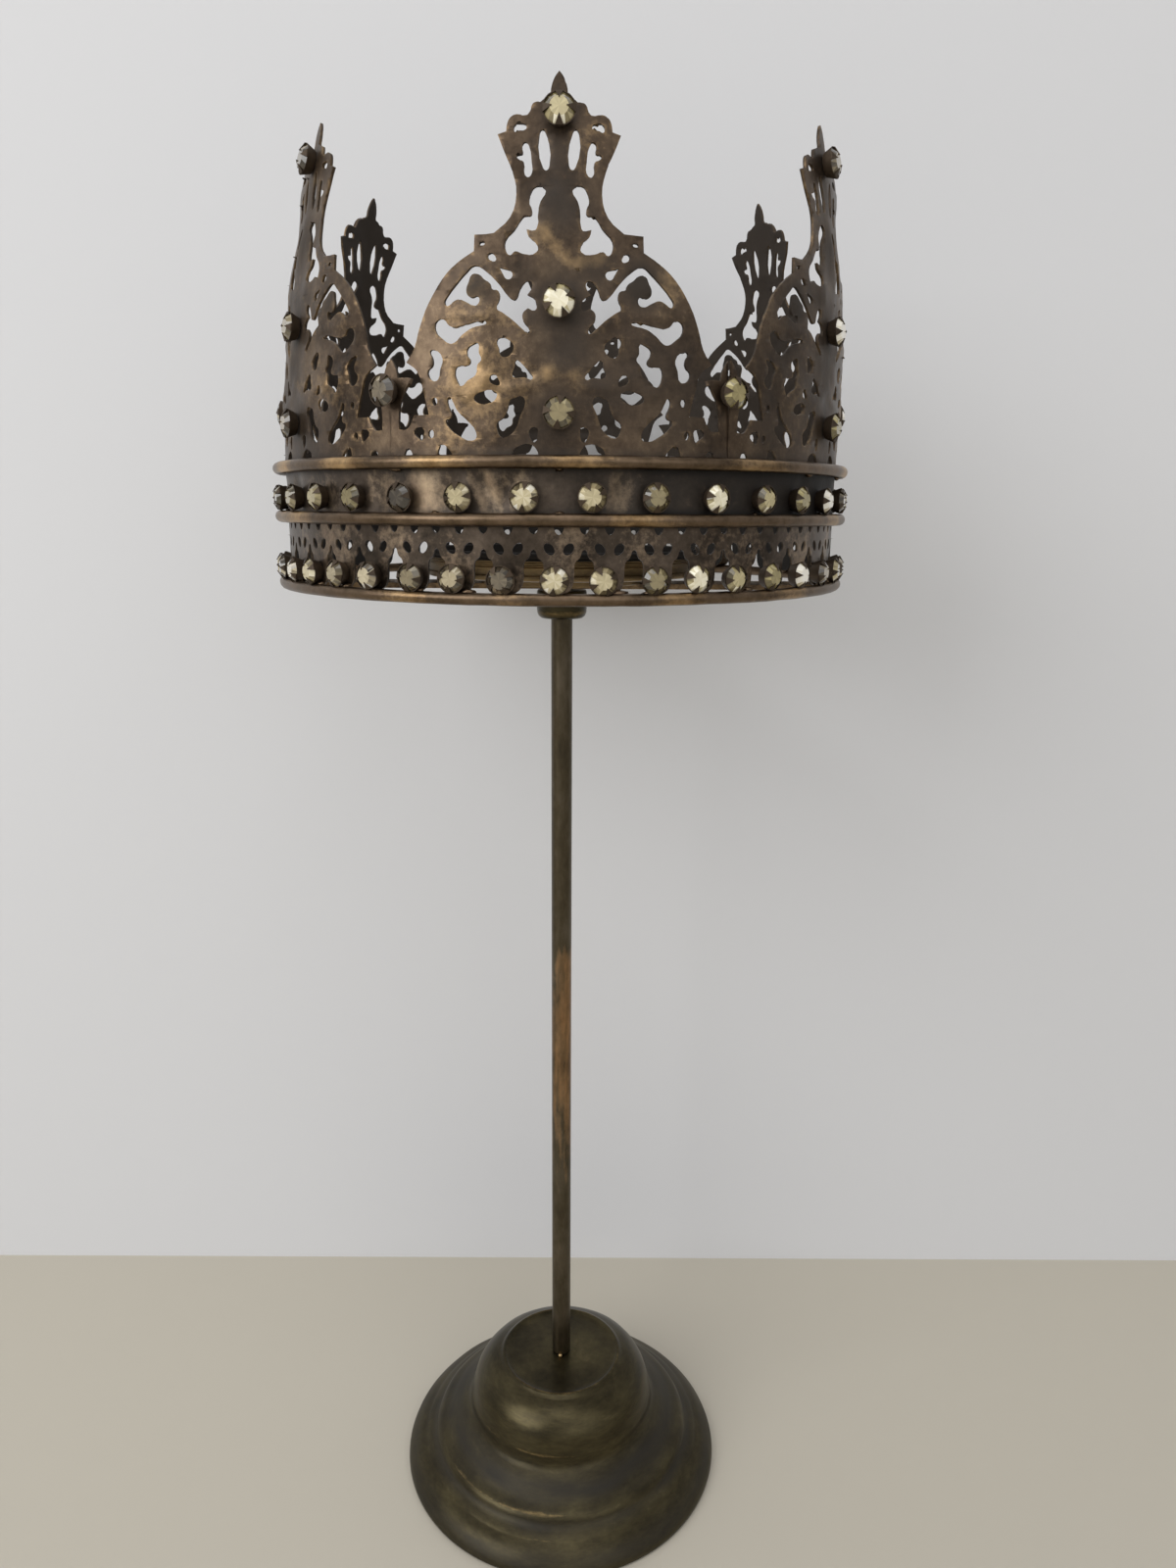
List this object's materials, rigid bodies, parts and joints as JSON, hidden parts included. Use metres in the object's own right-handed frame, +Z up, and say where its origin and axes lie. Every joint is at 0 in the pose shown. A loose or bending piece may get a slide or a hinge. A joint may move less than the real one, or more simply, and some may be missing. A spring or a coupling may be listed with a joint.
{
  "type": "statue crown on stand",
  "caption": "Pierced brass statue crown set with pale glass stones, standing on a round rod with a spun, stepped foot.",
  "frame": {"origin": "on the table, under the middle of the foot", "axes": "+Z up along the rod, -Y towards the front of the crown, where the middle of one tall lobe is, +X to its right as seen from the front"},
  "size_m": [0.2014, 0.2014, 0.5201],
  "materials": {
    "crown_brass": "aged sheet brass, brown patina with rubbed golden edges",
    "wire_brass": "rubbed brass wire with brown patina in its hollows",
    "disc_brass": "turned brass, darkened",
    "dark_brass": "spun brass, olive-black patina with soft streaks",
    "rod_brass": "drawn brass, dark brown patina rubbed coppery in the middle",
    "stone_glass": "pale yellow-green foiled glass in brass claw settings"
  },
  "bodies": {
    "root": {"foot": "dark_brass", "rod": "rod_brass", "collar": "dark_brass", "cross_strap": "crown_brass", "clamp_disc": "disc_brass", "bottom_wire": "wire_brass", "middle_wire": "wire_brass", "top_wire": "wire_brass", "lace_band": "crown_brass", "plain_band": "crown_brass", "gallery": "crown_brass", "stone_lobe_1_low": "stone_glass", "stone_lobe_1_middle": "stone_glass", "stone_lobe_1_top": "stone_glass", "stone_lobe_2_low": "stone_glass", "stone_lobe_2_middle": "stone_glass", "stone_lobe_2_top": "stone_glass", "stone_lobe_3_low": "stone_glass", "stone_lobe_3_middle": "stone_glass", "stone_lobe_3_top": "stone_glass", "stone_lobe_4_low": "stone_glass", "stone_lobe_4_middle": "stone_glass", "stone_lobe_4_top": "stone_glass", "stone_lobe_5_low": "stone_glass", "stone_lobe_5_middle": "stone_glass", "stone_lobe_5_top": "stone_glass", "stone_lobe_6_low": "stone_glass", "stone_lobe_6_middle": "stone_glass", "stone_lobe_6_top": "stone_glass", "stone_fleuron_1": "stone_glass", "stone_fleuron_2": "stone_glass", "stone_fleuron_3": "stone_glass", "stone_fleuron_4": "stone_glass", "stone_fleuron_5": "stone_glass", "stone_fleuron_6": "stone_glass"}
  },
  "joints": []
}
